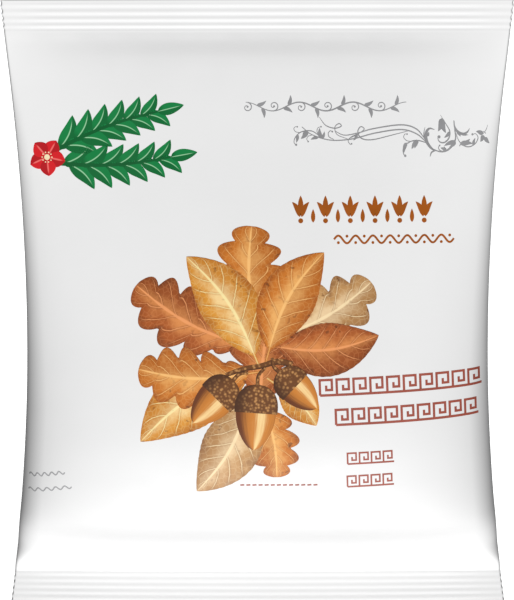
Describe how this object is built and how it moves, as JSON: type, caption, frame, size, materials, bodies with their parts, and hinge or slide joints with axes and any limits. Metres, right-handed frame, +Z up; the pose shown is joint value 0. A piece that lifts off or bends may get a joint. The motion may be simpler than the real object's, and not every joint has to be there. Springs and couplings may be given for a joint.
{
  "type": "pillow bag of frozen mushrooms",
  "caption": "Sealed white film pillow bag with ribbed end seals and a folded back fin seal, filled with frozen whole chanterelles, lying on its back.",
  "frame": {"origin": "on the supporting surface, under the middle of the bag's outline", "axes": "+X across the bag, to the right of its printed front; +Y along the bag, to its top end seal; +Z up, out of the printed front"},
  "size_m": [0.18, 0.2164, 0.0438],
  "materials": {
    "film": "white opaque laminated film, satin to glossy, printed on the front",
    "mushroom_flesh": "frozen mushroom flesh, matt with a trace of frost"
  },
  "bodies": {
    "root": {"pillow_film": "film", "frozen_chanterelle_01": "mushroom_flesh", "frozen_chanterelle_02": "mushroom_flesh", "frozen_chanterelle_03": "mushroom_flesh", "frozen_chanterelle_04": "mushroom_flesh", "frozen_chanterelle_05": "mushroom_flesh", "frozen_chanterelle_06": "mushroom_flesh", "frozen_chanterelle_07": "mushroom_flesh", "frozen_chanterelle_08": "mushroom_flesh", "frozen_chanterelle_09": "mushroom_flesh", "frozen_chanterelle_10": "mushroom_flesh", "frozen_chanterelle_11": "mushroom_flesh", "frozen_chanterelle_12": "mushroom_flesh", "frozen_chanterelle_13": "mushroom_flesh", "frozen_chanterelle_14": "mushroom_flesh", "frozen_chanterelle_15": "mushroom_flesh", "frozen_chanterelle_16": "mushroom_flesh", "frozen_chanterelle_17": "mushroom_flesh", "frozen_chanterelle_18": "mushroom_flesh", "frozen_chanterelle_19": "mushroom_flesh", "frozen_chanterelle_20": "mushroom_flesh", "frozen_chanterelle_21": "mushroom_flesh", "frozen_chanterelle_22": "mushroom_flesh", "frozen_chanterelle_23": "mushroom_flesh", "frozen_chanterelle_24": "mushroom_flesh", "frozen_chanterelle_25": "mushroom_flesh", "frozen_chanterelle_26": "mushroom_flesh", "frozen_chanterelle_27": "mushroom_flesh", "frozen_chanterelle_28": "mushroom_flesh", "frozen_chanterelle_29": "mushroom_flesh", "frozen_chanterelle_30": "mushroom_flesh", "frozen_chanterelle_31": "mushroom_flesh", "frozen_chanterelle_32": "mushroom_flesh"}
  },
  "joints": []
}
